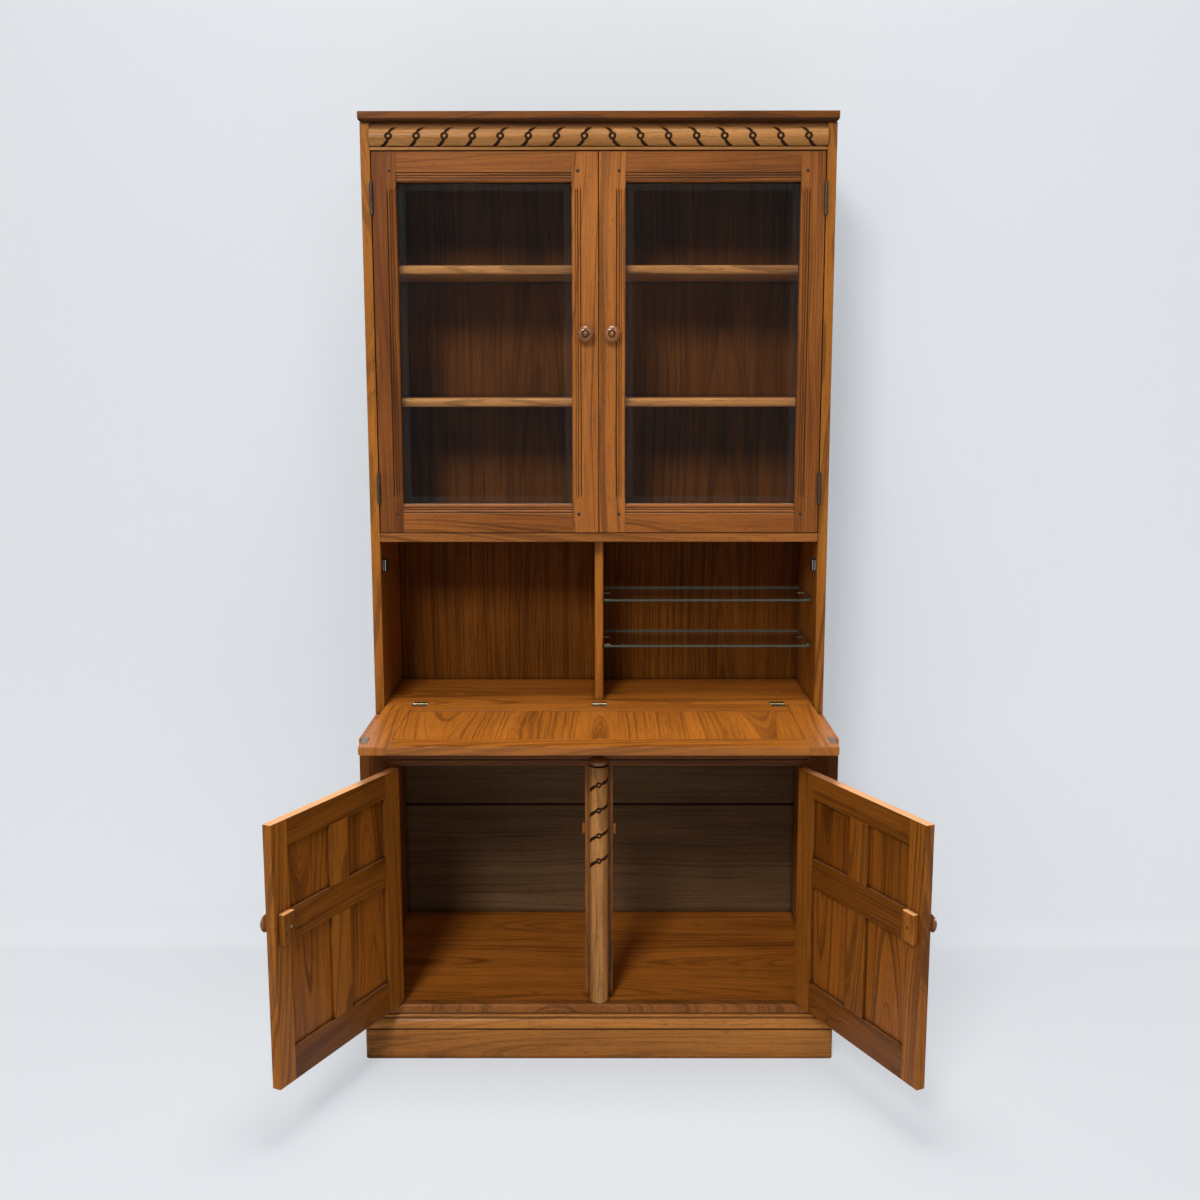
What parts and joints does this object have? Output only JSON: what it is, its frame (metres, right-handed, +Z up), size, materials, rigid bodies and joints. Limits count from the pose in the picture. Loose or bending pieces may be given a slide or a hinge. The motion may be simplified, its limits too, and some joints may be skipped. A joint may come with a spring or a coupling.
{
  "type": "display cabinet",
  "caption": "Tall oak-toned display cabinet with bevelled glass doors, a fall flap let down over a cupboard base and a carved frieze.",
  "frame": {"origin": "on the floor, under the middle of the plinth's back board", "axes": "+Z up, +X to the right seen from the front, +Y towards the wall behind the cabinet"},
  "size_m": [1.2064, 0.8503, 1.9105],
  "materials": {
    "case_wood": "waxed",
    "panel_wood": "waxed",
    "moulding_wood": "waxed",
    "back_wood": "matte",
    "dark_peg": "waxed",
    "glass": "polished",
    "hinge_metal": "satin",
    "brass": "polished",
    "catch_plastic": "matte",
    "steel": "brushed"
  },
  "bodies": {
    "carcase": {"plinth_front": "case_wood", "plinth_sides": "case_wood", "plinth_back": "back_wood", "plinth_moulding": "moulding_wood", "base_ledge": "case_wood", "base_bottom": "back_wood", "base_side_left": "case_wood", "base_side_right": "case_wood", "base_stiles": "case_wood", "base_top_rail": "case_wood", "centre_stile": "case_wood", "pilaster": "moulding_wood", "door_keepers": "case_wood", "base_back": "back_wood", "base_top": "case_wood", "upper_side_left": "case_wood", "upper_side_right": "case_wood", "compartment_floor": "panel_wood", "partition": "case_wood", "display_floor": "case_wood", "upper_back": "back_wood", "frieze_rail": "case_wood", "frieze_moulding": "moulding_wood", "top_board": "case_wood", "display_shelf_upper": "panel_wood", "display_shelf_lower": "panel_wood", "glass_shelf_upper": "glass", "glass_shelf_lower": "glass", "shelf_pins": "brass", "magnet_catches": "catch_plastic", "butt_hinge_case_leaves": "hinge_metal", "flap_hinge_floor_leaves": "brass", "hinge_pins": "steel"},
    "glazed_door_left": {"glazed_left_frame": "case_wood", "glazed_left_glass": "glass", "glazed_left_beads": "case_wood", "glazed_left_knob": "case_wood", "glazed_left_pegs": "dark_peg", "glazed_left_hinge_leaves": "hinge_metal"},
    "cupboard_door_left": {"cupboard_left_frame": "case_wood", "cupboard_left_panels": "panel_wood", "cupboard_left_knob": "case_wood", "cupboard_left_catch_block": "case_wood", "cupboard_left_hinge_leaves": "hinge_metal"},
    "glazed_door_right": {"glazed_right_frame": "case_wood", "glazed_right_glass": "glass", "glazed_right_beads": "case_wood", "glazed_right_knob": "case_wood", "glazed_right_pegs": "dark_peg", "glazed_right_hinge_leaves": "hinge_metal"},
    "cupboard_door_right": {"cupboard_right_frame": "case_wood", "cupboard_right_panels": "panel_wood", "cupboard_right_knob": "case_wood", "cupboard_right_catch_block": "case_wood", "cupboard_right_hinge_leaves": "hinge_metal"},
    "fall_flap": {"flap_frame": "case_wood", "flap_panels": "panel_wood", "strike_plates": "steel", "flap_hinge_leaves": "brass"}
  },
  "joints": [
    {"name": "glazed_door_left_swing", "type": "hinge", "parent": "carcase", "child": "glazed_door_left", "pos_m": [-0.4598, -0.2685, 1.1545], "axis": [0, 0, -1], "range_deg": [0, 170]},
    {"name": "cupboard_door_left_swing", "type": "hinge", "parent": "carcase", "child": "cupboard_door_left", "pos_m": [-0.4188, -0.4735, 0.211], "axis": [0, 0, -1], "range_deg": [-115.7, 54.3]},
    {"name": "glazed_door_right_swing", "type": "hinge", "parent": "carcase", "child": "glazed_door_right", "pos_m": [0.4598, -0.2685, 1.1545], "axis": [0, 0, 1], "range_deg": [0, 170]},
    {"name": "cupboard_door_right_swing", "type": "hinge", "parent": "carcase", "child": "cupboard_door_right", "pos_m": [0.4188, -0.4735, 0.211], "axis": [0, 0, 1], "range_deg": [-115.7, 54.3]},
    {"name": "fall_flap_swing", "type": "hinge", "parent": "carcase", "child": "fall_flap", "pos_m": [0, -0.247, 0.689], "axis": [-1, 0, 0], "range_deg": [0, 90]}
  ]
}
